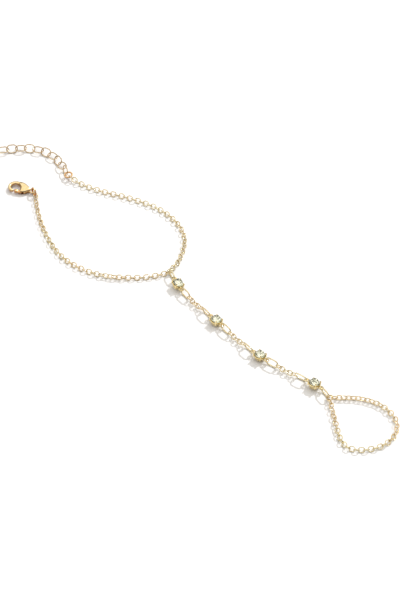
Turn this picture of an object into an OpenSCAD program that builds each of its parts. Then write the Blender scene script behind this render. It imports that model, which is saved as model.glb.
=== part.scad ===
// Hand chain bracelet: a wrist chain with a clasp and an extender, a short
// stone-set chain over the back of the hand, and a finger loop.
// It lies spread on a flat surface at z = 0. All sizes are in millimetres.

/* [Fine chain] */
// Outer length of a small link
link_length = 2.43; // [2.3:0.05:2.8]
// Outer width of a small link
link_width = 2.02; // [1.9:0.05:2.2]
// Wire of a small link
link_wire = 0.34; // [0.24:0.02:0.38]
// Lean of each small link to either side
link_lean = 45; // [38:1:52]

/* [Extender chain] */
// Number of extender links
extender_links = 10; // [3:1:10]
// Outer length of an extender link
extender_length = 4.35; // [4:0.05:4.7]
// Outer width of an extender link
extender_width = 3.3; // [3:0.1:3.8]
// Wire of an extender link
extender_wire = 0.4; // [0.3:0.02:0.46]
// Tilt of the whole extender chain about its run
extender_tilt = -25; // [-30:1:0]
// Lean of each extender link to either side of that tilt
extender_lean = 21; // [21:1:30]

/* [Jump rings] */
// Outer length of an oval jump ring
oval_length = 5.2; // [4.8:0.1:5.4]
// Outer width of an oval jump ring
oval_width = 3.3; // [3:0.1:3.6]
// Wire of an oval jump ring
oval_wire = 0.5; // [0.4:0.05:0.6]
// Outer diameter of a round jump ring
round_diameter = 3.3; // [3.1:0.1:3.8]
// Wire of a round jump ring
round_wire = 0.6; // [0.4:0.05:0.7]

/* [Stone settings] */
// Girdle diameter of a stone
stone_diameter = 3.8; // [3.4:0.1:4]
// Height of the stone's crown
crown_height = 1.15; // [0.9:0.05:1.25]
// Thickness of the stone's girdle
girdle_height = 0.15; // [0.1:0.05:0.3]
// Height of the stone's pavilion
pavilion_height = 1.1; // [0.9:0.05:1.2]
// Wall of the cup at its rim
cup_wall = 0.13; // [0.1:0.01:0.2]
// Height of the cup from its foot to its rim
cup_height = 1.55; // [1.45:0.05:1.9]
// Diameter of the cup's foot
cup_foot = 3; // [2.6:0.1:3.4]
// Diameter of a claw
claw_diameter = 0.4; // [0.35:0.05:0.5]
// Diameter of the ball at a claw's tip
claw_tip = 0.5; // [0.45:0.05:0.6]
// Wire of a cup's side loop
loop_wire = 0.5; // [0.4:0.05:0.55]
// Hole of a cup's side loop
loop_hole = 1; // [0.9:0.05:1.2]
// Height of the side loops over the cup's foot
loop_level = 1.3; // [1.1:0.05:1.4]

/* [Clasp] */
// Outer radius of the hook
hook_radius = 2.75; // [2.6:0.05:2.9]
// Thickness of the hook
hook_wire = 1.25; // [1.1:0.05:1.4]
// Greatest thickness of the clasp's body
clasp_thickness = 2; // [1.9:0.05:2.4]
// Distance from the eye to the centre of the hook
hook_reach = 6.6; // [6.5:0.05:6.9]
// Hole of the clasp's eye
eye_hole = 1.4; // [1.3:0.05:1.6]
// Wire of the clasp's eye
eye_wire = 0.6; // [0.5:0.05:0.7]
// Width of the lever's arm
lever_width = 0.9; // [0.7:0.05:1]
// Thickness of the lever
lever_thickness = 0.8; // [0.6:0.05:0.9]
// Diameter of the lever's pin
pin_diameter = 0.5; // [0.4:0.05:0.55]
// Angle by which the lever opens
lever_opening = 25; // [10:1:25]

/* [Hidden] */

// Clearances
link_gap = 0.12;       // play between two linked wires
extender_gap = 0.25;   // play between two extender links
seat_gap = 0.05;       // stone to its cup and claws
pin_gap = 0.02;        // pin in the clasp's body
lever_gap = 0.05;      // lever on its pin
slot_gap = 0.1;        // lever in its slot, on each side
mouth_gap = 0.1;       // lever's tip to the hook's nose

// Smoothness
wire_fn = 24;
bend_fn = 32;
ball_fn = 48;

// Colours
pale_gold = [0.86, 0.76, 0.52];
cup_gold = [0.8, 0.63, 0.3];
rich_gold = [0.86, 0.55, 0.2];
pale_metal = [0.88, 0.83, 0.7];
stone_clear = [0.85, 0.9, 0.8];

// Chosen points of the chains' routes, as they lie: x, y
route = [
    ["clasp side", [
        [-55, 45], [-53.8, 38.5], [-51.8, 31.5], [-49, 24.5], [-45.3, 18],
        [-40, 12.8], [-33.5, 8.9], [-27, 6.9], [-20.5, 6.5], [-14, 6.9]]],
    ["extender side", [
        [-3.8, 13.5], [-2, 19], [-1.1, 25], [-2.2, 31], [-5.5, 36.8],
        [-10.3, 41.8], [-16.3, 45.5], [-22.8, 48.4], [-29.3, 50.7],
        [-35.5, 53.3], [-40.2, 56.2]]],
    ["extender", [
        [-46.8, 65.6], [-49.5, 69.8], [-53.5, 73], [-58.5, 74.5],
        [-63.8, 74.5], [-69, 73.6], [-74.5, 72.6], [-80, 71.6]]],
    ["finger", [
        [52, -51], [58, -51.4], [63.5, -53.6], [67.6, -57.5],
        [69.6, -62.8], [68.3, -68.2], [64, -72.4], [58, -74.1],
        [53, -73.2], [50.6, -69.5], [49.5, -64.3], [48.7, -58.5]]]
];
// Each cup: x, y, heading of its loops, lean
cups = [
    [-3.45, 2.45, -66, 18],
    [9.85, -15.35, -50, 12],
    [24.6, -32.15, -42, 13],
    [42.65, -45.35, -38, 18]
];
// Height of the hand chain's links at their rings and at mid-span
hand_link_high = 1.35;
hand_link_low = 1;
// Sideways bow of each hand chain at mid-span
hand_bow = 0.3;
// Clasp ring: centre x, y and heading
clasp_ring_place = [-56.1, 50.4, -60];
// Connector ring: centre x, y, heading and lean, and how far it is held up by its links
connector_place = [-43.9, 59.5, 121, -5];
connector_level = 1.6;
// How far the stone's girdle stands above the cup's rim
stone_rise = 0.25;
// Lean of the hand chain's rings after and before a cup, and of the finger ring
ring_lean_after = -6;
ring_lean_before = 15;
finger_lean = 10;
// Headings of the junction ring and the finger ring
junction_heading = 113;
finger_heading = -58;
// Where each chain hooks on its ring's far bend, as an angle above the axis,
// the side that its end link leans to, and how far its end is twisted
hook_clasp = [-20, -1, 15];
hook_junction_clasp = [-48, -1, 20];
hook_junction_extender = [-16, -1, 20];
hook_connector = [0, 1, 14];
hook_extender = [0, -1, -30];
hook_hand = [0, -1, 20];
hook_finger_out = [-48, 1, 25];
hook_finger_back = [-12, -1, 20];
hook_hand_end = [0, 0, 28];
// Links over which the twist of an end fades out
twist_links = 3;
// Links over which a chain turns by a quarter, and where along its run
turn_links = 12;
turn_clasp = 0.71;
turn_extender = 0.5;
turn_finger = 0.82;
// Extra roll of the finger chain's first stretch, and the share of its run where that ends
swing_finger = [-45, 0.3];
// Heading of the clasp from its eye
clasp_heading = 166;
// Moves everything so that the box's bottom centre is the origin
centring = [0.26, -0.7, 0];

// Derived sizes
loop_radius = (loop_hole + loop_wire) / 2;
loop_reach = stone_diameter / 2 + seat_gap + cup_wall + loop_radius - 0.08 + 0.15;
loop_hold = loop_reach + 0.05;
oval_bend = (oval_width - oval_wire) / 2;
oval_straight = oval_length - oval_width;
ring_span = oval_length - oval_wire;
round_radius = (round_diameter - round_wire) / 2;
link_axis = (link_width - link_wire) / 2 * sin(link_lean) + link_wire / 2;
extender_steep = abs(extender_tilt) + extender_lean;
extender_axis = (extender_width - extender_wire) / 2 * sin(extender_steep) + extender_wire / 2 + 0.01;
oval_axis = oval_width / 2;
round_axis = round_diameter / 2;
connector_axis = connector_level;
clasp_axis = clasp_thickness / 2;
link_pitch = link_length - 2 * link_wire - link_gap;
extender_pitch = extender_length - 2 * extender_wire - extender_gap;

// Distance from a ring's wire to the middle of the link that hooks on it
function hook_offset(length, wire, ring_wire) = (length - wire) / 2 - (wire + ring_wire) / 2 - link_gap;
function heading(a) = [cos(a), sin(a), 0];
function chosen(name) = [for (r = route) if (r[0] == name) r[1]][0];
function raised(points, z) = [for (p = points) [p[0], p[1], z]];

// Smooth curve through points, as a fine polyline
steps = 12;
function blend(a, b, c, d, t) =
    0.5 * (2 * b + t * (c - a) + t * t * (2 * a - 5 * b + 4 * c - d) + t * t * t * (3 * b - a - 3 * c + d));
function curve(p) =
    let (last = len(p) - 1)
    concat(
        [for (i = [0:last - 1], k = [0:steps - 1])
            blend(p[max(i - 1, 0)], p[i], p[i + 1], p[min(i + 2, last)], k / steps)],
        [p[last]]);
function running(line) =
    [for (i = 0, s = 0; i < len(line);
        s = i + 1 < len(line) ? s + norm(line[i + 1] - line[i]) : s, i = i + 1) s];
function table(line, run, axis) = [for (i = [0:len(line) - 1]) [run[i], line[i][axis]]];

// A far-bend point of a standing oval ring that starts at near and points along a heading
function far_bend(near, a, angle) =
    near + heading(a) * (oval_bend + oval_straight + oval_bend * cos(angle)) + [0, 0, oval_bend * sin(angle)];
function loop_point(i, side) = [cups[i][0], cups[i][1], oval_axis] + side * loop_hold * heading(cups[i][2]);

// Wire link: half tori joined by two straight rods, lying in the XY plane
module half_bend(radius, wire)
{
    rotate_extrude(angle = 180, start = -90, $fn = bend_fn)
        translate([radius, 0])
            circle(d = wire, $fn = wire_fn);
}
module oval_link(length, width, wire)
{
    bend = (width - wire) / 2;
    straight = length - width;
    for (side = [0, 1])
        mirror([side, 0, 0])
            translate([straight / 2, 0, 0])
                half_bend(bend, wire);
    for (side = [-1, 1])
        translate([0, side * bend, 0])
            rotate([0, 90, 0])
                cylinder(d = wire, h = straight, center = true, $fn = wire_fn);
}
module round_link(radius, wire)
{
    rotate_extrude($fn = 2 * bend_fn)
        translate([radius, 0])
            circle(d = wire, $fn = wire_fn);
}

// Puts a child at the middle of two points, with its X axis along them, rolled about that axis
module between(a, b, roll)
{
    d = b - a;
    translate((a + b) / 2)
        rotate([0, 0, atan2(d[1], d[0])])
            rotate([0, -atan2(d[2], norm([d[0], d[1]])), 0])
                rotate([roll, 0, 0])
                    children();
}

// Row of links along a curve from a start ring's wire to an end ring's wire.
// Neighbours lean to opposite sides. Where the ends' sides ask for it, the row
// makes a quarter turn around the place given as a share of the run.
function ease(t) = let (u = max(0, min(1, t))) u * u * (3 - 2 * u);
module link_run(points, length, width, wire, start_wire, end_wire, pitch, lean, start, end,
    turn_at = 0.5, swing = [0, 0])
{
    line = curve(points);
    run = running(line);
    total = run[len(run) - 1];
    xs = table(line, run, 0);
    ys = table(line, run, 1);
    zs = table(line, run, 2);
    first = hook_offset(length, wire, start_wire);
    last = total - hook_offset(length, wire, end_wire);
    count = ceil((last - first) / pitch - 0.001) + 1;
    step = (last - first) / (count - 1);
    half = (length - wire) / 2;
    turn = end[1] == 0 || start[1] * (count % 2 == 0 ? -1 : 1) == end[1] ? 0 : 90;
    rolls = [for (i = [-1:count])
        start[1] * (i % 2 == 0 ? lean : -lean)
        + turn * ease((i - turn_at * count) / turn_links + 0.5)
        + swing[0] * (1 - ease((i - swing[1] * count) / turn_links + 0.5))
        + start[2] * max(0, 1 - max(i, 0) / twist_links)
        + end[2] * max(0, 1 - (count - 1 - min(i, count - 1)) / twist_links)];
    for (i = [0:count - 1])
        let (s = first + i * step,
             back = max(s - half, 0),
             front = min(s + half, total),
             steep = max([for (k = [0:2]) abs(sin(rolls[i + k]))]),
             a = [lookup(back, xs), lookup(back, ys), lookup(back, zs)],
             b = [lookup(front, xs), lookup(front, ys), lookup(front, zs)],
             rise = (width - wire) / 2 * (steep - sin(lean)),
             rest = (width - wire) / 2 * abs(sin(rolls[i + 1])) + wire / 2,
             lift = [0, 0, max(rise, rest - (a[2] + b[2]) / 2)])
            between(a + lift, b + lift, rolls[i + 1])
                translate([s - (back + front) / 2, 0, 0])
                    oval_link(length, width, wire);
}

// Row of a set number of links from a ring's wire to a free end
module free_run(points, length, width, wire, start_wire, pitch, lean, tilt, start, count)
{
    line = curve(points);
    run = running(line);
    xs = table(line, run, 0);
    ys = table(line, run, 1);
    zs = table(line, run, 2);
    first = hook_offset(length, wire, start_wire);
    half = (length - wire) / 2;
    for (i = [0:count - 1])
        let (s = first + i * pitch,
             back = max(s - half, 0),
             front = s + half,
             roll = tilt + start[1] * (i % 2 == 0 ? lean : -lean) + start[2] * max(0, 1 - i),
             steep = max(abs(sin(roll)) - sin(abs(tilt) + lean), 0),
             lift = [0, 0, (width - wire) / 2 * steep],
             a = [lookup(back, xs), lookup(back, ys), lookup(back, zs)],
             b = [lookup(front, xs), lookup(front, ys), lookup(front, zs)])
            between(a, b + lift, roll)
                translate([s - (back + front) / 2, 0, 0])
                    oval_link(length, width, wire);
}

// Wrist chain, in two lengths that meet at the junction ring
clasp_ring_axis = [clasp_ring_place[0], clasp_ring_place[1], round_axis];
junction_near = loop_point(0, -1);
finger_near = loop_point(3, 1);
connector_axis_point = [connector_place[0], connector_place[1], connector_axis];

module wrist_chain_clasp_side()
{
    hold = hook_clasp[0];
    start = clasp_ring_axis + round_radius * (cos(hold) * heading(clasp_ring_place[2]) + [0, 0, sin(hold)]);
    end = far_bend(junction_near, junction_heading, hook_junction_clasp[0]);
    color(pale_gold)
        placed()
            link_run(concat([start], raised(chosen("clasp side"), link_axis), [end]),
                link_length, link_width, link_wire, round_wire, oval_wire, link_pitch, link_lean,
                hook_clasp, hook_junction_clasp, turn_clasp);
}
module wrist_chain_extender_side()
{
    start = far_bend(junction_near, junction_heading, hook_junction_extender[0]);
    end = connector_axis_point - round_radius * heading(connector_place[2]);
    color(pale_gold)
        placed()
            link_run(concat([start], raised(chosen("extender side"), link_axis), [end]),
                link_length, link_width, link_wire, oval_wire, round_wire, link_pitch, link_lean,
                hook_junction_extender, hook_connector, turn_extender);
}

// Hand chain: five small links between two oval rings, three times
function hand_end(i, side) =
    let (near = loop_point(i, side), far = loop_point(i + side, -side), way = far - near)
    near + ring_span * way / norm(way);
module hand_links(i)
{
    a = hand_end(i, 1);
    b = hand_end(i + 1, -1);
    way = (b - a) / norm(b - a);
    side = [way[1], -way[0], 0];
    below = oval_axis - hand_link_high;
    drop = oval_bend - sqrt(oval_bend * oval_bend - below * below);
    start = [a[0], a[1], hand_link_high] - drop * way;
    end = [b[0], b[1], hand_link_high] + drop * way;
    middle = [(a[0] + b[0]) / 2, (a[1] + b[1]) / 2, hand_link_low] + hand_bow * side;
    color(pale_gold)
        placed()
            link_run([start, middle, end],
                link_length, link_width, link_wire, oval_wire, oval_wire, link_pitch, link_lean,
                hook_hand, hook_hand_end);
}
module hand_chain_1() { hand_links(0); }
module hand_chain_2() { hand_links(1); }
module hand_chain_3() { hand_links(2); }

// Finger loop
module finger_chain()
{
    start = far_bend(finger_near, finger_heading, hook_finger_out[0]);
    end = far_bend(finger_near, finger_heading, hook_finger_back[0]);
    color(pale_gold)
        placed()
            link_run(concat([start], raised(chosen("finger"), link_axis), [end]),
                link_length, link_width, link_wire, oval_wire, oval_wire, link_pitch, link_lean,
                hook_finger_out, hook_finger_back, turn_finger, swing_finger);
}

// Extender: larger, thinner links with a free end
module extender_chain()
{
    start = connector_axis_point + round_radius * heading(connector_place[2]);
    color(pale_metal)
        placed()
            free_run(concat([start], raised(chosen("extender"), extender_axis)),
                extender_length, extender_width, extender_wire, round_wire,
                extender_pitch, extender_lean, extender_tilt, hook_extender, extender_links);
}

// Rings
module standing_ring(near, a, lean)
{
    placed()
        between(near, near + ring_span * heading(a), 90 + lean)
            oval_link(oval_length, oval_width, oval_wire);
}
module hand_ring(i, side)
{
    near = loop_point(i, side);
    way = hand_end(i, side) - near;
    color(pale_gold)
        standing_ring(near, atan2(way[1], way[0]), side > 0 ? ring_lean_after : -ring_lean_before);
}
module junction_ring() { color(pale_gold) standing_ring(junction_near, junction_heading, 0); }
module finger_ring() { color(pale_gold) standing_ring(finger_near, finger_heading, finger_lean); }
module jump_ring_1a() { hand_ring(0, 1); }
module jump_ring_1b() { hand_ring(1, -1); }
module jump_ring_2a() { hand_ring(1, 1); }
module jump_ring_2b() { hand_ring(2, -1); }
module jump_ring_3a() { hand_ring(2, 1); }
module jump_ring_3b() { hand_ring(3, -1); }
module round_ring(centre, a, lean)
{
    color(rich_gold)
        placed()
            translate(centre)
                rotate([0, 0, a])
                    rotate([lean, 0, 0])
                        round_link(round_radius, round_wire);
}
module clasp_ring() { round_ring(clasp_ring_axis, clasp_ring_place[2], 90); }
module connector_ring() { round_ring(connector_axis_point, connector_place[2], connector_place[3]); }

// Stone setting, with its foot's centre at the origin and its loops along X
stone_radius = stone_diameter / 2;
pocket_radius = stone_radius + seat_gap;
rim_radius = pocket_radius + cup_wall;
girdle_level = cup_height + stone_rise;
culet_level = girdle_level - pavilion_height;
crown_level = girdle_level + girdle_height;
seat_low = culet_level - 2 * seat_gap;
seat_radius = pocket_radius * (cup_height - seat_low) / (girdle_level - seat_gap - seat_low);
table_radius = 0.52 * stone_radius;
claw_ring = pocket_radius + claw_diameter / 2;
claw_root = 0.9;
foot_edge = 0.1;
rim_band = 0.25;
shank_root = pocket_radius + cup_wall / 4;
shank_length = loop_reach - shank_root - loop_radius;
crown_slope = atan2(crown_height, stone_radius - table_radius);
claw_level = crown_level + 0.4 * crown_height;
tip_rise = (claw_level - crown_level) * cos(crown_slope);
tip_ring = stone_radius + (claw_tip / 2 + seat_gap - tip_rise) / sin(crown_slope);

module setting()
{
    rotate_extrude($fn = 64)
        polygon([
            [0, 0], [cup_foot / 2 - foot_edge, 0], [cup_foot / 2, foot_edge],
            [rim_radius, cup_height - rim_band], [rim_radius, cup_height],
            [seat_radius, cup_height], [0, seat_low]]);
    for (a = [45:90:315])
        rotate([0, 0, a]) {
            translate([claw_ring, 0, cup_height - claw_root])
                cylinder(d = claw_diameter, h = claw_level - cup_height + claw_root, $fn = wire_fn);
            translate([tip_ring, 0, claw_level])
                sphere(d = claw_tip, $fn = wire_fn);
        }
    for (side = [-1, 1])
        translate([side * loop_reach, 0, loop_level]) {
            round_link(loop_radius, loop_wire);
            translate([-side * (loop_reach - shank_root + loop_radius) / 2, 0, 0])
                rotate([0, 90, 0])
                    cylinder(d = loop_wire, h = shank_length, center = true, $fn = wire_fn);
        }
}

// Faceted stone: table, eight crown facets with a sixteen-sided girdle, pavilion to a point
module stone()
{
    girdle = [for (a = [0:22.5:337.5]) [stone_radius * cos(a), stone_radius * sin(a)]];
    top = [for (a = [0:45:315]) [table_radius * cos(a), table_radius * sin(a)]];
    points = concat(
        [for (p = top) [p[0], p[1], crown_level + crown_height]],
        [for (p = girdle) [p[0], p[1], crown_level]],
        [for (p = girdle) [p[0], p[1], girdle_level]],
        [[0, 0, culet_level]]);
    faces = concat(
        [[for (i = [7:-1:0]) i]],
        [for (i = [0:7]) [i, (i + 1) % 8, 8 + (2 * i + 1) % 16]],
        [for (i = [0:7]) [i, 8 + (2 * i + 1) % 16, 8 + 2 * i]],
        [for (i = [0:7]) [i, 8 + 2 * i, 8 + (2 * i + 15) % 16]],
        [for (i = [0:15]) [8 + i, 8 + (i + 1) % 16, 24 + (i + 1) % 16, 24 + i]],
        [for (i = [0:15]) [24 + i, 24 + (i + 1) % 16, 40]]);
    polyhedron(points, faces, convexity = 4);
}

// Puts a child cup where it lies: leaning sideways about its loops until its foot touches
module at_cup(i)
{
    c = cups[i];
    lift = loop_level * cos(c[3]) + cup_foot / 2 * sin(c[3]);
    placed()
        translate([c[0], c[1], lift])
            rotate([0, 0, c[2]])
                rotate([-c[3], 0, 0])
                    translate([0, 0, -loop_level])
                        children();
}
module setting_1() { color(cup_gold) at_cup(0) setting(); }
module setting_2() { color(cup_gold) at_cup(1) setting(); }
module setting_3() { color(cup_gold) at_cup(2) setting(); }
module setting_4() { color(cup_gold) at_cup(3) setting(); }
module stone_1() { color(stone_clear) at_cup(0) stone(); }
module stone_2() { color(stone_clear) at_cup(1) stone(); }
module stone_3() { color(stone_clear) at_cup(2) stone(); }
module stone_4() { color(stone_clear) at_cup(3) stone(); }

// Lobster clasp, with its eye at the origin and its hook along X
hook_bend = hook_radius - hook_wire / 2;
hook_centre = [hook_reach, -0.09 * hook_reach];
nose_angle = 68;
nose_ball = hook_wire + 0.1;
arm_angle = -135;
// Outline of the body: x as a share of the hook's reach, y as a share of its outer radius
body_outline = [
    [0.11, 0.15], [0.23, 0.29], [0.37, 0.58], [0.53, 0.72], [0.68, 0.66],
    [0.67, 0.34], [0.685, -0.02], [0.745, -0.38], [0.84, -0.66], [0.93, -0.82],
    [0.9, -1.16], [0.73, -1.19], [0.55, -1.05], [0.36, -0.72], [0.2, -0.36], [0.11, -0.17]];
body_dome = 7;
outline_steps = 5;
pin_length = 1.7;
nose = hook_centre + hook_bend * [cos(nose_angle), sin(nose_angle)];
pivot = [0.53 * hook_reach, 0.4 * hook_radius];
slot_drop = lever_width / 2 + 2 * slot_gap + 0.15 * hook_reach * sin(lever_opening);
slot_start = pivot[0] - lever_width / 2 - 2 * slot_gap;
tip = [nose[0] - (nose_ball + lever_width) / 2 - mouth_gap, nose[1] + 0.03];
pin_bore = pin_diameter + 2 * pin_gap;
lever_bore = pin_diameter + 2 * lever_gap;
slot_length = tip[0] + lever_width / 2 - slot_start;
eye_radius = (eye_hole + eye_wire) / 2;
arm = tip - pivot;
arm_heading = atan2(arm[1], arm[0]);
eye_angle = asin((clasp_axis - round_axis) / round_radius);
eye_place = clasp_ring_axis - round_radius * cos(eye_angle) * heading(clasp_ring_place[2]);

module at_clasp()
{
    placed()
        translate([eye_place[0], eye_place[1], clasp_axis])
            rotate([0, 0, clasp_heading])
                children();
}
// Closed smooth outline through points
function ring_curve(p) =
    let (n = len(p))
    [for (i = [0:n - 1], k = [0:outline_steps - 1])
        blend(p[(i + n - 1) % n], p[i], p[(i + 1) % n], p[(i + 2) % n], k / outline_steps)];
module body_blank()
{
    dome_centre = [0.5 * hook_reach, -0.2 * hook_radius];
    intersection() {
        linear_extrude(height = clasp_thickness, center = true)
            polygon(ring_curve([for (p = body_outline) [p[0] * hook_reach, p[1] * hook_radius]]));
        translate([dome_centre[0], dome_centre[1], clasp_thickness / 2 - body_dome])
            sphere(r = body_dome, $fn = 96);
        translate([dome_centre[0], dome_centre[1], body_dome - clasp_thickness / 2])
            sphere(r = body_dome, $fn = 96);
    }
}
module clasp_body()
{
    color(rich_gold)
        at_clasp()
            difference() {
                union() {
                    round_link(eye_radius, eye_wire);
                    body_blank();
                    translate([hook_centre[0], hook_centre[1], 0])
                        rotate_extrude(angle = nose_angle - arm_angle, start = arm_angle, $fn = 2 * bend_fn)
                            translate([hook_bend, 0])
                                circle(d = hook_wire, $fn = wire_fn);
                    translate([nose[0], nose[1], 0])
                        sphere(d = nose_ball, $fn = ball_fn);
                }
                translate([slot_start, pivot[1] - slot_drop, -lever_thickness / 2 - slot_gap])
                    cube([slot_length, slot_drop + hook_radius, lever_thickness + 2 * slot_gap]);
                translate([pivot[0], pivot[1], 0])
                    cylinder(d = pin_bore, h = 2 * clasp_thickness, center = true, $fn = wire_fn);
            }
}
module clasp_lever()
{
    color(rich_gold)
        at_clasp()
            difference() {
                union() {
                    translate([pivot[0], pivot[1], 0])
                        cylinder(d = lever_width, h = lever_thickness, center = true, $fn = ball_fn);
                    translate([tip[0], tip[1], 0])
                        cylinder(d = lever_width, h = lever_thickness, center = true, $fn = ball_fn);
                    translate([pivot[0], pivot[1], 0])
                        rotate([0, 0, arm_heading])
                            translate([norm(arm) / 2, 0, 0])
                                cube([norm(arm), lever_width, lever_thickness], center = true);
                    translate([pivot[0] + 0.7 * lever_width, pivot[1] + 0.8 * lever_width, 0])
                        cylinder(d = lever_width, h = lever_thickness, center = true, $fn = ball_fn);
                }
                translate([pivot[0], pivot[1], 0])
                    cylinder(d = lever_bore, h = 2 * clasp_thickness, center = true, $fn = wire_fn);
            }
}
module clasp_pin()
{
    color(rich_gold)
        at_clasp()
            translate([pivot[0], pivot[1], 0])
                cylinder(d = pin_diameter, h = pin_length, center = true, $fn = wire_fn);
}

module placed()
{
    translate(centring)
        children();
}

wrist_chain_clasp_side();
wrist_chain_extender_side();
hand_chain_1();
hand_chain_2();
hand_chain_3();
finger_chain();
extender_chain();
clasp_body();
clasp_lever();
clasp_pin();
clasp_ring();
connector_ring();
junction_ring();
finger_ring();
jump_ring_1a();
jump_ring_1b();
jump_ring_2a();
jump_ring_2b();
jump_ring_3a();
jump_ring_3b();
setting_1();
setting_2();
setting_3();
setting_4();
stone_1();
stone_2();
stone_3();
stone_4();
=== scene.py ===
import math

import bmesh
import bpy
import numpy as np
from mathutils import Matrix, Vector


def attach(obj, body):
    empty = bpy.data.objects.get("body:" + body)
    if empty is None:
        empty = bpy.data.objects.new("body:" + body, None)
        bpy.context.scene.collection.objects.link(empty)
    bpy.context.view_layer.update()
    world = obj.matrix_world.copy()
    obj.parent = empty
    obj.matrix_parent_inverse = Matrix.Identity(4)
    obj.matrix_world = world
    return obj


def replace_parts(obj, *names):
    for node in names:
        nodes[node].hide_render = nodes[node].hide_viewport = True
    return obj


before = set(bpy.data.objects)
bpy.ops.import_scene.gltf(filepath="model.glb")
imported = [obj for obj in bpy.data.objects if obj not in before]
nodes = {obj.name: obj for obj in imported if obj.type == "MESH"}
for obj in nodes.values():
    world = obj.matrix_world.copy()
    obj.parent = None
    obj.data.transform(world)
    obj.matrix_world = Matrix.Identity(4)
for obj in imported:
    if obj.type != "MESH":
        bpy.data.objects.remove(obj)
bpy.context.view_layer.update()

scene = bpy.context.scene
MM = 0.001

# ---------------------------------------------------------------- camera
# The view stands 45 degrees above the surface, 850 mm away, on a long lens.
AIM = Vector((4.76, -4.70, 0.0)) * MM
DISTANCE = 850 * MM
ELEVATION = math.radians(45)
SENSOR_HEIGHT = 24.0
FOCAL_PER_PICTURE_HEIGHT = 2439.5 / 601

cam_data = bpy.data.cameras.new("camera")
cam_data.sensor_fit = "VERTICAL"
cam_data.sensor_height = SENSOR_HEIGHT
cam_data.lens = SENSOR_HEIGHT * FOCAL_PER_PICTURE_HEIGHT
cam_data.clip_start = 0.05
cam_data.clip_end = 20.0
camera = bpy.data.objects.new("camera", cam_data)
scene.collection.objects.link(camera)
camera.location = AIM + DISTANCE * Vector((0, -math.cos(ELEVATION), math.sin(ELEVATION)))
camera.rotation_euler = (math.pi / 2 - ELEVATION, 0, 0)
scene.camera = camera


# ---------------------------------------------------------------- materials
def new_material(name):
    mat = bpy.data.materials.new(name)
    mat.use_nodes = True
    tree = mat.node_tree
    return mat, tree, tree.nodes, tree.links, tree.nodes["Principled BSDF"]


def noise(tree, source, scale, detail=3.0, rough=0.5):
    n = tree.nodes.new("ShaderNodeTexNoise")
    n.inputs["Scale"].default_value = scale
    n.inputs["Detail"].default_value = detail
    n.inputs["Roughness"].default_value = rough
    tree.links.new(source, n.inputs["Vector"])
    return n


def ramp(tree, source, stops):
    r = tree.nodes.new("ShaderNodeValToRGB")
    first, last = r.color_ramp.elements
    first.position, first.color = stops[0][0], (*stops[0][1], 1)
    last.position, last.color = stops[-1][0], (*stops[-1][1], 1)
    for place, colour in stops[1:-1]:
        e = r.color_ramp.elements.new(place)
        e.color = (*colour, 1)
    tree.links.new(source, r.inputs["Fac"])
    return r


def map_range(tree, source, from_min, from_max, to_min=0.0, to_max=1.0):
    m = tree.nodes.new("ShaderNodeMapRange")
    m.inputs["From Min"].default_value = from_min
    m.inputs["From Max"].default_value = from_max
    m.inputs["To Min"].default_value = to_min
    m.inputs["To Max"].default_value = to_max
    tree.links.new(source, m.inputs["Value"])
    return m.outputs["Result"]


def split_xyz(tree, source):
    n = tree.nodes.new("ShaderNodeSeparateXYZ")
    tree.links.new(source, n.inputs[0])
    return n.outputs


# A mix node's sockets for two colours and for its colour result.
COLOUR_A, COLOUR_B, COLOUR_RESULT = 6, 7, 2


def multiply(tree, colour, other, factor=None):
    """Multiplies a colour by another colour or output, by a share that an output may give."""
    mix = tree.nodes.new("ShaderNodeMix")
    mix.data_type = "RGBA"
    mix.blend_type = "MULTIPLY"
    if factor is None:
        mix.inputs["Factor"].default_value = 1.0
    else:
        tree.links.new(factor, mix.inputs["Factor"])
    tree.links.new(colour, mix.inputs[COLOUR_A])
    if isinstance(other, tuple):
        mix.inputs[COLOUR_B].default_value = (*other, 1)
    else:
        tree.links.new(other, mix.inputs[COLOUR_B])
    return mix.outputs[COLOUR_RESULT]


def bump(tree, source, bsdf, strength, distance):
    b = tree.nodes.new("ShaderNodeBump")
    b.inputs["Strength"].default_value = strength
    b.inputs["Distance"].default_value = distance
    tree.links.new(source, b.inputs["Height"])
    tree.links.new(b.outputs["Normal"], bsdf.inputs["Normal"])


# Scales of the patterns, and the heights in metres and the slopes over which painted shade darkens the
# metal's low parts and upright faces.
CAST_SCALE, CAST_FROM, CAST_TO = 45, 0.40, 0.62
PAINTED_SHADE_HEIGHTS = (0.0011, 0.0004)
PAINTED_SHADE_SLOPES = (0.50, 0.05)
WEAR_SCALE, RUB_SCALE = 700, 9000


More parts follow.
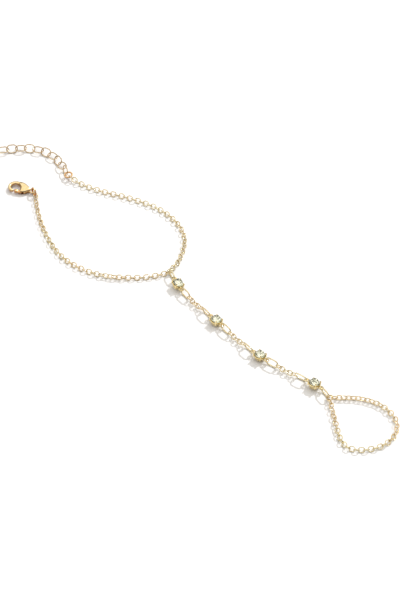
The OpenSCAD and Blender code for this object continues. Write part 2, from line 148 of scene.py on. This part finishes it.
def gold(name, deep, mid, light, rough_low, rough_high, cast=None, painted_shade=None):
    """Plated metal: tone drifts from deep to light, piece by piece and over each piece, with fine rub marks.

    cast is a second hue that the plating drifts to over two or three centimetres; the shade colour is
    painted shade: it darkens upright faces and low parts, where shade and dark reflections fall.
    """
    mat, tree, n, link, bsdf = new_material(name)
    coords = n.new("ShaderNodeTexCoord").outputs["Object"]
    geo = n.new("ShaderNodeNewGeometry")
    drift = noise(tree, coords, WEAR_SCALE, 4.0, 0.6)
    island = n.new("ShaderNodeMath")
    island.operation = "MULTIPLY_ADD"
    island.inputs[1].default_value = 0.35
    link.new(geo.outputs["Random Per Island"], island.inputs[0])
    link.new(drift.outputs["Fac"], island.inputs[2])
    colour = ramp(tree, island.outputs[0], [(0.3, deep), (0.62, mid), (0.95, light)]).outputs["Color"]
    if cast:
        slow = noise(tree, coords, CAST_SCALE, 1.0)
        share = map_range(tree, slow.outputs["Fac"], CAST_FROM, CAST_TO)
        colour = multiply(tree, colour, cast, share)
    # Painted shade: the shade colour darkens low parts and upright faces, standing in for shade and dark
    # reflections there.
    if painted_shade:
        low = map_range(tree, split_xyz(tree, coords)["Z"], *PAINTED_SHADE_HEIGHTS)
        upright = map_range(tree, split_xyz(tree, geo.outputs["Normal"])["Z"], *PAINTED_SHADE_SLOPES)
        painted_shade_share = n.new("ShaderNodeMath")
        painted_shade_share.operation = "MAXIMUM"
        link.new(low, painted_shade_share.inputs[0])
        link.new(upright, painted_shade_share.inputs[1])
        colour = multiply(tree, colour, painted_shade, painted_shade_share.outputs[0])
    link.new(colour, bsdf.inputs["Base Color"])
    bsdf.inputs["Metallic"].default_value = 1.0
    rub = noise(tree, coords, RUB_SCALE, 5.0, 0.65).outputs["Fac"]
    link.new(map_range(tree, rub, 0.3, 0.7, rough_low, rough_high), bsdf.inputs["Roughness"])
    bump(tree, rub, bsdf, 0.12, 0.00002)
    return mat


chain_gold = gold("chain_gold", (0.58, 0.46, 0.23), (0.84, 0.73, 0.45), (0.96, 0.88, 0.63), 0.05, 0.13,
                  cast=(0.985, 0.90, 0.85))
cup_gold = gold("cup_gold", (0.60, 0.45, 0.19), (0.84, 0.69, 0.37), (0.97, 0.86, 0.56), 0.05, 0.14)
# The clasp's and the lever's shade colours are painted shade on their low parts and upright faces.
clasp_gold = gold("clasp_gold", (0.74, 0.44, 0.15), (0.90, 0.65, 0.30), (0.98, 0.80, 0.48), 0.05, 0.14,
                  painted_shade=(0.52, 0.36, 0.24))
lever_gold = gold("lever_gold", (0.60, 0.30, 0.10), (0.80, 0.47, 0.20), (0.94, 0.66, 0.36), 0.14, 0.26,
                  painted_shade=(0.66, 0.50, 0.36))
extender_metal = gold("extender_metal", (0.42, 0.29, 0.15), (0.65, 0.48, 0.28), (0.89, 0.76, 0.53),
                      0.05, 0.13)


def glass_material():
    """Clear cut stone, faintly yellow-green, with fine polish marks on its facets."""
    mat, tree, n, link, bsdf = new_material("stone_glass")
    coords = n.new("ShaderNodeTexCoord").outputs["Object"]
    tint = noise(tree, coords, 900, 2.0)
    tone = ramp(tree, tint.outputs["Fac"], [(0.3, (0.96, 0.985, 0.88)), (0.7, (1.0, 1.0, 0.95))])
    link.new(tone.outputs["Color"], bsdf.inputs["Base Color"])
    bsdf.inputs["Roughness"].default_value = 0.02
    bsdf.inputs["IOR"].default_value = 1.56
    bsdf.inputs["Transmission Weight"].default_value = 1.0
    fine = noise(tree, coords, 6000, 2.0)
    bump(tree, fine.outputs["Fac"], bsdf, 0.05, 0.00001)
    return mat


def foil_material():
    """Foil on the underside of a stone: each facet has its own tone, most of them bright."""
    mat, tree, n, link, bsdf = new_material("stone_foil")
    coords = n.new("ShaderNodeTexCoord").outputs["Object"]
    geo = n.new("ShaderNodeNewGeometry")
    tint = noise(tree, coords, 1500, 3.0)
    mixed = n.new("ShaderNodeMath")
    mixed.operation = "MULTIPLY_ADD"
    mixed.inputs[1].default_value = 0.16
    link.new(tint.outputs["Fac"], mixed.inputs[0])
    link.new(geo.outputs["Random Per Island"], mixed.inputs[2])
    tone = ramp(tree, mixed.outputs[0], [
        (0.12, (0.05, 0.055, 0.03)), (0.26, (0.45, 0.45, 0.28)),
        (0.36, (0.97, 0.97, 0.80)), (0.8, (1.0, 1.0, 0.90))])
    link.new(tone.outputs["Color"], bsdf.inputs["Base Color"])
    bsdf.inputs["Metallic"].default_value = 1.0
    bsdf.inputs["Roughness"].default_value = 0.08
    return mat


stone_glass = glass_material()
stone_foil = foil_material()


def floor_material():
    mat, tree, n, link, bsdf = new_material("floor_paper")
    coords = n.new("ShaderNodeTexCoord").outputs["Object"]
    fine = noise(tree, coords, 600, 3.0)
    tone = ramp(tree, fine.outputs["Fac"], [(0.3, (0.86, 0.86, 0.865)), (0.7, (0.88, 0.88, 0.885))])
    link.new(tone.outputs["Color"], bsdf.inputs["Base Color"])
    bsdf.inputs["Roughness"].default_value = 0.5
    bsdf.inputs["Specular IOR Level"].default_value = 0.3
    return mat


# ---------------------------------------------------------------- pieces and carried-over solids
def add_piece(name, verts, faces, materials, slot, smooth=True, face_slots=None):
    """A piece on the bracelet's body, from vertices in metres."""
    mesh = bpy.data.meshes.new(name)
    mesh.from_pydata([tuple(v) for v in verts], [], faces)
    mesh.validate()
    for m in materials:
        mesh.materials.append(m)
    if face_slots is not None:
        for poly, index in zip(mesh.polygons, face_slots):
            poly.material_index = index
    for poly in mesh.polygons:
        poly.use_smooth = smooth
    mesh.update()
    obj = bpy.data.objects.new(name, mesh)
    scene.collection.objects.link(obj)
    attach(obj, "bracelet")
    return obj


def dress(node, material):
    obj = nodes[node]
    obj.data.materials.clear()
    obj.data.materials.append(material)


CHAIN_NODES = ["wrist_chain_clasp_side", "wrist_chain_extender_side", "hand_chain_1", "hand_chain_2",
               "hand_chain_3", "finger_chain"]
OVAL_RING_NODES = ["junction_ring", "finger_ring", "jump_ring_1a", "jump_ring_1b", "jump_ring_2a",
                   "jump_ring_2b", "jump_ring_3a", "jump_ring_3b"]
for name in CHAIN_NODES + OVAL_RING_NODES:
    dress(name, chain_gold)
dress("extender_chain", extender_metal)
for name in ("clasp_body", "clasp_pin"):
    dress(name, clasp_gold)
for name in ("clasp_lever", "clasp_ring", "connector_ring"):
    dress(name, lever_gold)
for k in range(1, 5):
    dress(f"setting_{k}", cup_gold)
    dress(f"stone_{k}", stone_glass)

# ---------------------------------------------------------------- jump rings
# Length, width and wire of the two kinds of ring, and the width of the cut in each, in millimetres.
OVAL_RING = (5.2, 3.3, 0.5)
ROUND_RING = (3.3, 3.3, 0.6)
CUT_WIDTH = 0.07
CUT_END_SHARE = 0.86


def ring_place(node):
    """Centre and axes of a ring's solid: along it, across it, and out of its plane."""
    mesh = nodes[node].data
    points = np.empty(len(mesh.vertices) * 3)
    mesh.vertices.foreach_get("co", points)
    points = points.reshape(-1, 3)
    centre = points.mean(0)
    sample = (points - centre)[:: max(1, len(points) // 4000)]
    spread, axes = np.linalg.svd(sample, full_matrices=False)[1:]
    if axes[2][2] < 0:
        axes = -axes
    normal = Vector(axes[2])
    if spread[0] > 1.1 * spread[1]:
        along = Vector(axes[0])
    else:
        along = normal.cross(Vector((0.3, 0.2, 1.0))).normalized()
    across = normal.cross(along)
    place = Matrix((along, across, normal)).transposed().to_4x4()
    return Matrix.Translation(Vector(centre)) @ place


def ring_path(length, width, wire):
    """Length of a ring's middle line, and a function that gives a point on it and the way out there."""
    bend, side = (width - wire) / 2, length - width
    half_turn = math.pi * bend
    total = 2 * (half_turn + side)

    def path(s):
        s %= total
        if s < side:
            return Vector((-side / 2 + s, bend, 0)), Vector((0, 1, 0))
        s -= side
        if s < half_turn:
            a, middle = math.pi / 2 - s / bend, side / 2
        elif s - half_turn < side:
            return Vector((side / 2 - (s - half_turn), -bend, 0)), Vector((0, -1, 0))
        else:
            a, middle = -math.pi / 2 - (s - half_turn - side) / bend, -side / 2
        out = Vector((math.cos(a), math.sin(a), 0))
        return Vector((middle + bend * math.cos(a), bend * math.sin(a), 0)), out

    return total, path


def open_ring(node, size, material, slot, cut, around=96, section=16):
    """A bent wire ring whose ends meet at a hairline cut; cut is where, as a share of the way round."""
    wire = size[2]
    total, path = ring_path(*size)
    place = ring_place(node)
    verts, faces = [], []
    start = cut * total + CUT_WIDTH / 2
    for i in range(around + 1):
        middle, out = path(start + (total - CUT_WIDTH) * i / around)
        radius = wire / 2 * (CUT_END_SHARE if i in (0, around) else 1.0)
        for j in range(section):
            b = 2 * math.pi * j / section
            off = math.cos(b) * out + math.sin(b) * Vector((0, 0, 1))
            verts.append(place @ ((middle + radius * off) * MM))
    for i in range(around):
        for j in range(section):
            k = (j + 1) % section
            faces.append((i * section + j, i * section + k, (i + 1) * section + k, (i + 1) * section + j))
    faces.append(tuple(range(section)))
    faces.append(tuple(around * section + j for j in reversed(range(section))))
    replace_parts(add_piece(f"wire_{node}", verts, faces, [material], slot), node)


for index, node in enumerate(OVAL_RING_NODES):
    open_ring(node, OVAL_RING, chain_gold, "chain_gold", cut=0.08 + 0.03 * (index % 3))
open_ring("clasp_ring", ROUND_RING, lever_gold, "clasp_gold", cut=0.30)
open_ring("connector_ring", ROUND_RING, lever_gold, "clasp_gold", cut=0.62)

# ---------------------------------------------------------------- stones
# CENTRING brings the box of the whole piece over the origin. Each cup as it lies: x, y, heading of its
# loops and lean, in millimetres and degrees.
CENTRING = (0.26, -0.70)
CUPS = [(-3.45, 2.45, -66, 18), (9.85, -15.35, -50, 12), (24.6, -32.15, -42, 13), (42.65, -45.35, -38, 18)]
LOOP_LEVEL, CUP_FOOT = 1.3, 3.0
# Levels over the cup's foot and radii of the stone, in millimetres.
STONE_RADIUS, GIRDLE_LOW, GIRDLE_HIGH = 1.9, 1.80, 1.95
CROWN_TOP, TABLE_RADIUS, CULET = 3.10, 0.99, 0.70
STAR_RADIUS, PAVILION_BREAK = 1.40, 0.55


def cup_frame(k):
    x, y, heading, lean = CUPS[k]
    lift = LOOP_LEVEL * math.cos(math.radians(lean)) + CUP_FOOT / 2 * math.sin(math.radians(lean))
    return (Matrix.Translation(Vector((x + CENTRING[0], y + CENTRING[1], lift)) * MM)
            @ Matrix.Rotation(math.radians(heading), 4, "Z") @ Matrix.Rotation(math.radians(-lean), 4, "X")
            @ Matrix.Translation((0, 0, -LOOP_LEVEL * MM)))


def ring_points(radius, z, count, start=0.0):
    turns = [start + 2 * math.pi * i / count for i in range(count)]
    return [Vector((radius * math.cos(t), radius * math.sin(t), z)) for t in turns]


def brilliant(name, place):
    """Brilliant cut: table, 8 stars, 8 kites, 16 upper halves, girdle, 16 lower halves, 8 mains."""
    half = math.pi / 8
    slope = (CROWN_TOP - GIRDLE_HIGH) / (STONE_RADIUS - TABLE_RADIUS)
    star_z = CROWN_TOP - slope * (STAR_RADIUS * math.cos(half) - TABLE_RADIUS)
    main = (GIRDLE_LOW - CULET) / STONE_RADIUS
    low_z = CULET + main * PAVILION_BREAK * math.cos(half)
    table = ring_points(TABLE_RADIUS, CROWN_TOP, 8)
    star = ring_points(STAR_RADIUS, star_z, 8, half)
    high = ring_points(STONE_RADIUS, GIRDLE_HIGH, 16)
    low = ring_points(STONE_RADIUS, GIRDLE_LOW, 16)
    under = ring_points(PAVILION_BREAK, low_z, 8, half)
    verts = table + star + high + low + under + [Vector((0, 0, CULET))]
    T, S, H, L, U, C = 0, 8, 16, 32, 48, 56
    faces, slots = [tuple(range(8))], [0]
    for k in range(8):
        n = (k + 1) % 8
        faces += [(T + k, S + k, T + n), (T + k, S + (k - 1) % 8, H + 2 * k, S + k),
                  (S + k, H + 2 * k, H + 2 * k + 1), (S + k, H + 2 * k + 1, H + (2 * k + 2) % 16)]
        slots += [0] * 4
    for k in range(16):
        faces.append((H + k, L + k, L + (k + 1) % 16, H + (k + 1) % 16))
        slots.append(0)
    for k in range(8):
        faces += [(C, U + k, L + 2 * k, U + (k - 1) % 8),
                  (U + k, L + 2 * k + 1, L + 2 * k), (U + k, L + (2 * k + 2) % 16, L + 2 * k + 1)]
        slots += [1] * 3
    verts = [place @ (v * MM) for v in verts]
    obj = add_piece(name, verts, faces, [stone_glass, stone_foil], "stone", smooth=False, face_slots=slots)
    bm = bmesh.new()
    bm.from_mesh(obj.data)
    bmesh.ops.recalc_face_normals(bm, faces=bm.faces)
    foiled = [e for e in bm.edges if any(f.material_index == 1 for f in e.link_faces)]
    bmesh.ops.split_edges(bm, edges=foiled)
    bm.to_mesh(obj.data)
    bm.free()
    return obj


for k in range(4):
    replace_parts(brilliant(f"cut_stone_{k + 1}", cup_frame(k)), f"stone_{k + 1}")

# ---------------------------------------------------------------- clasp
# The clasp's own frame: eye at the origin, hook along X, millimetres.
CLASP = (Matrix.Translation(Vector((-56.4316, 50.7247, 1.0)) * MM)
         @ Matrix.Rotation(math.radians(166), 4, "Z"))
HOOK = Vector((6.6, -0.594))
HOOK_OUT, HOOK_IN = 2.75, 1.5
BEND = (HOOK_OUT + HOOK_IN) / 2
NOSE_ANGLE, NOSE_RADIUS = 68, 0.66
OUTER_ARC, INNER_ARC = (-105, 66), (56, -135)
SHELL_THICKNESS, SHELL_EDGE, SHELL_VOXEL = 1.5, 0.58, 0.085
LEVER_THICKNESS, LEVER_EDGE, LEVER_VOXEL = 0.8, 0.38, 0.06
SLOT_FROM, SLOT_TO = Vector((2.85, 0.03, -0.5)), Vector((6.62, 3.8, 0.5))
PIVOT, PIN_BORE = Vector((3.498, 1.1)), 0.28
EYE_RADIUS, EYE_WIRE = 1.0, 0.6
# The shell swells to a dome over the body and gets slimmer along the hook.
DOME_CENTRE, DOME_REACH, DOME_RISE, DOME_POWER = (3.3, -0.55), (2.9, 2.8), 0.32, 0.8
SLIM_FROM, SLIM_RUN, SLIM_SHARE = 5.3, 1.5, 0.16
# The lever is crowned across, and grows thicker over a short run towards its tip.
CROWN_MIDDLE, CROWN_REACH, CROWN_BASE, CROWN_RISE = 1.45, 1.1, 0.86, 0.2
TIP_FROM, TIP_RUN, TIP_GROWTH = 4.8, 1.0, 0.55
# The back of the shell, from the hook's arm round the body to the arm again, and the lever's outline.
SHELL_BACK = [(5.5, -1.6), (4.95, -0.98), (4.55, -0.1), (4.42, 0.85), (4.4, 1.7),
              (3.7, 2.02), (2.6, 1.72), (1.6, 0.95), (0.8, 0.42), (0.8, -0.46),
              (1.35, -1.05), (2.4, -2.0), (3.6, -2.85), (4.7, -3.2), (5.7, -3.28)]
LEVER_OUTLINE = [(3.05, 1.0), (3.2, 0.74), (3.6, 0.67), (4.6, 0.78), (5.6, 0.9),
                 (6.3, 0.98), (6.6, 1.2), (6.6, 1.7), (6.3, 2.1), (5.6, 2.2),
                 (4.95, 2.2), (4.55, 2.24), (4.2, 2.26), (3.8, 2.15), (3.5, 1.75), (3.15, 1.4)]


def arc(centre, radius, start, end, count):
    turns = [math.radians(start + (end - start) * i / (count - 1)) for i in range(count)]
    return [Vector((centre[0] + radius * math.cos(t), centre[1] + radius * math.sin(t))) for t in turns]


def smooth_line(points, closed, steps=5):
    """Smooth line through points, in steps between neighbours."""
    n = len(points)
    out = []
    for i in range(n if closed else n - 1):
        around = [(i + k) % n if closed else min(max(i + k, 0), n - 1) for k in (-1, 0, 1, 2)]
        a, b, c, d = (Vector(points[j]) for j in around)
        for k in range(steps):
            t = k / steps
            out.append(0.5 * (2 * b + t * (c - a) + t * t * (2 * a - 5 * b + 4 * c - d)
                              + t ** 3 * (3 * b - a - 3 * c + d)))
    return out


def evaluated_mesh(obj):
    bpy.context.view_layer.update()
    return bpy.data.meshes.new_from_object(obj.evaluated_get(bpy.context.evaluated_depsgraph_get()))


def rounded_plate(name, outline, thickness, edge):
    """An object that is a flat cast form with rounded edges, from its outline in millimetres."""
    curve = bpy.data.curves.new(name, "CURVE")
    curve.dimensions = "2D"
    curve.fill_mode = "BOTH"
    curve.extrude = thickness / 2 - edge
    curve.bevel_depth = edge
    curve.bevel_resolution = 5
    curve.offset = -edge
    spline = curve.splines.new("POLY")
    spline.points.add(len(outline) - 1)
    for point, v in zip(spline.points, outline):
        point.co = (v[0], v[1], 0, 1)
    spline.use_cyclic_u = True
    form = bpy.data.objects.new(name + "_curve", curve)
    scene.collection.objects.link(form)
    mesh = evaluated_mesh(form)
    bpy.data.objects.remove(form)
    bpy.data.curves.remove(curve)
    mesh.name = name
    bm = bmesh.new()
    bm.from_mesh(mesh)
    bmesh.ops.remove_doubles(bm, verts=bm.verts, dist=0.002)
    bmesh.ops.recalc_face_normals(bm, faces=bm.faces)
    bm.to_mesh(mesh)
    bm.free()
    mesh.materials.clear()
    obj = bpy.data.objects.new(name, mesh)
    scene.collection.objects.link(obj)
    return obj


def apply_modifiers(obj, *modifiers):
    """Applies modifiers, given as (kind, values), and swaps the object's mesh for the result."""
    for kind, values in modifiers:
        mod = obj.modifiers.new(kind.lower(), kind)
        for key, value in values.items():
            setattr(mod, key, value)
    mesh = evaluated_mesh(obj)
    obj.modifiers.clear()
    old = obj.data
    obj.data = mesh
    bpy.data.meshes.remove(old)


def soften(obj, voxel):
    apply_modifiers(obj, ("REMESH", {"mode": "VOXEL", "voxel_size": voxel}),
                    ("SMOOTH", {"factor": 0.5, "iterations": 3}))


def slot_form(a, b):
    corners = [(x, y, z) for x in (a.x, b.x) for y in (a.y, b.y) for z in (a.z, b.z)]
    sides = [(0, 1, 3, 2), (4, 6, 7, 5), (0, 4, 5, 1), (2, 3, 7, 6), (0, 2, 6, 4), (1, 5, 7, 3)]
    mesh = bpy.data.meshes.new("slot_cutter")
    mesh.from_pydata(corners, [], sides)
    return mesh


def bore_form(centre, radius, depth=2.0):
    mesh = bpy.data.meshes.new("bore_cutter")
    bm = bmesh.new()
    bmesh.ops.create_cone(bm, cap_ends=True, segments=48, radius1=radius, radius2=radius, depth=depth,
                          matrix=Matrix.Translation((centre.x, centre.y, 0)))
    bm.to_mesh(mesh)
    bm.free()
    return mesh


def cut_away(obj, mesh):
    """Cuts a mesh's form out of an object, and removes the mesh."""
    cutter = bpy.data.objects.new(mesh.name, mesh)
    scene.collection.objects.link(cutter)
    apply_modifiers(obj, ("BOOLEAN", {"object": cutter, "operation": "DIFFERENCE", "solver": "EXACT"}))
    bpy.data.objects.remove(cutter)
    bpy.data.meshes.remove(mesh)


def finish_cast(obj, material, body):
    obj.data.transform(CLASP @ Matrix.Scale(MM, 4))
    obj.data.materials.clear()
    obj.data.materials.append(material)
    for poly in obj.data.polygons:
        poly.use_smooth = True
    obj.data.set_sharp_from_angle(angle=math.radians(45))
    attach(obj, body)
    return obj


def clasp_shell():
    """Hook and body in one casting: a domed body with the lever's slot, and a slimmer hook."""
    nose = arc(HOOK, BEND, NOSE_ANGLE, NOSE_ANGLE, 2)[0]
    outline = (arc(HOOK, HOOK_OUT, *OUTER_ARC, 26) + arc(nose, NOSE_RADIUS, 90, 190, 8)
               + arc(HOOK, HOOK_IN, *INNER_ARC, 24) + smooth_line(SHELL_BACK, False))
    obj = rounded_plate("clasp_shell", outline, SHELL_THICKNESS, SHELL_EDGE)
    soften(obj, SHELL_VOXEL)
    for v in obj.data.vertices:
        away = [(v.co[i] - DOME_CENTRE[i]) / DOME_REACH[i] for i in (0, 1)]
        swell = max(0.0, 1 - away[0] ** 2 - away[1] ** 2)
        slim = min(1.0, max(0.0, (v.co.x - SLIM_FROM) / SLIM_RUN))
        v.co.z *= 1.0 + DOME_RISE * swell ** DOME_POWER - SLIM_SHARE * slim
    cut_away(obj, slot_form(SLOT_FROM, SLOT_TO))
    return finish_cast(obj, clasp_gold, "bracelet")


def clasp_arm():
    """The lever: thin in its slot, thicker and crowned where it closes the hook."""
    obj = rounded_plate("clasp_arm", smooth_line(LEVER_OUTLINE, True), LEVER_THICKNESS, LEVER_EDGE)
    soften(obj, LEVER_VOXEL)
    for v in obj.data.vertices:
        share = min(1.0, max(0.0, (v.co.x - TIP_FROM) / TIP_RUN))
        crown = max(0.0, 1 - ((v.co.y - CROWN_MIDDLE) / CROWN_REACH) ** 2)
        growth = 1.0 + TIP_GROWTH * share * share * (3 - 2 * share)
        v.co.z *= (CROWN_BASE + CROWN_RISE * crown) * growth
    cut_away(obj, bore_form(PIVOT, PIN_BORE))
    return finish_cast(obj, lever_gold, "lever")


def ring_mesh(major, minor, around=72, section=20):
    verts, faces = [], []
    for i in range(around):
        a = 2 * math.pi * i / around
        for j in range(section):
            b = 2 * math.pi * j / section
            reach = major + minor * math.cos(b)
            local = Vector((reach * math.cos(a), reach * math.sin(a), minor * math.sin(b)))
            verts.append(CLASP @ (local * MM))
            k, m = (j + 1) % section, (i + 1) % around
            faces.append((i * section + j, m * section + j, m * section + k, i * section + k))
    return verts, faces


add_piece("clasp_eye", *ring_mesh(EYE_RADIUS, EYE_WIRE / 2), [clasp_gold], "clasp_gold")
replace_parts(clasp_shell(), "clasp_body")
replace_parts(clasp_arm(), "clasp_lever")

# ---------------------------------------------------------------- floor and light
FLOOR_HALF, FLOOR_LEVEL = 3, -0.00002
floor_mesh = bpy.data.meshes.new("floor")
floor_mesh.from_pydata([(-FLOOR_HALF, -FLOOR_HALF, 0), (FLOOR_HALF, -FLOOR_HALF, 0),
                        (FLOOR_HALF, FLOOR_HALF, 0), (-FLOOR_HALF, FLOOR_HALF, 0)], [], [(0, 1, 2, 3)])
floor_mesh.materials.append(floor_material())
floor = bpy.data.objects.new("floor", floor_mesh)
floor.location = (0, 0, FLOOR_LEVEL)
scene.collection.objects.link(floor)

SUN_TOWARD = Vector((0.68, 0.88, 1.0))
sun_data = bpy.data.lights.new("key", "SUN")
sun_data.energy = 2.05
sun_data.angle = math.radians(1.0)
sun_data.color = (0.97, 0.98, 1.0)
sun = bpy.data.objects.new("key", sun_data)
sun.rotation_euler = SUN_TOWARD.normalized().to_track_quat("Z", "Y").to_euler()
scene.collection.objects.link(sun)

# A bright tent above, with a dim band at the horizon and a dim side in front.
world = bpy.data.worlds.new("studio")
scene.world = world
world.use_nodes = True
sky = world.node_tree
direction = split_xyz(sky, sky.nodes.new("ShaderNodeTexCoord").outputs["Generated"])
tent = ramp(sky, direction["Z"], [(0.0, (0.06, 0.052, 0.04)), (0.34, (0.10, 0.09, 0.075)),
                                  (0.52, (0.94, 0.91, 0.87)), (1.0, (1.0, 0.98, 0.95))])
depth = map_range(sky, direction["Y"], -1.0, 1.0)
front = ramp(sky, depth, [(0.0, (0.30, 0.29, 0.28)), (0.12, (0.38, 0.37, 0.36)),
                          (0.30, (1.0, 1.0, 1.0)), (1.0, (1.0, 1.0, 1.0))])
background = sky.nodes["Background"]
glow = multiply(sky, tent.outputs["Color"], front.outputs["Color"])
sky.links.new(glow, background.inputs["Color"])
background.inputs["Strength"].default_value = 1.18

scene.view_settings.view_transform = "Standard"
scene.view_settings.look = "None"
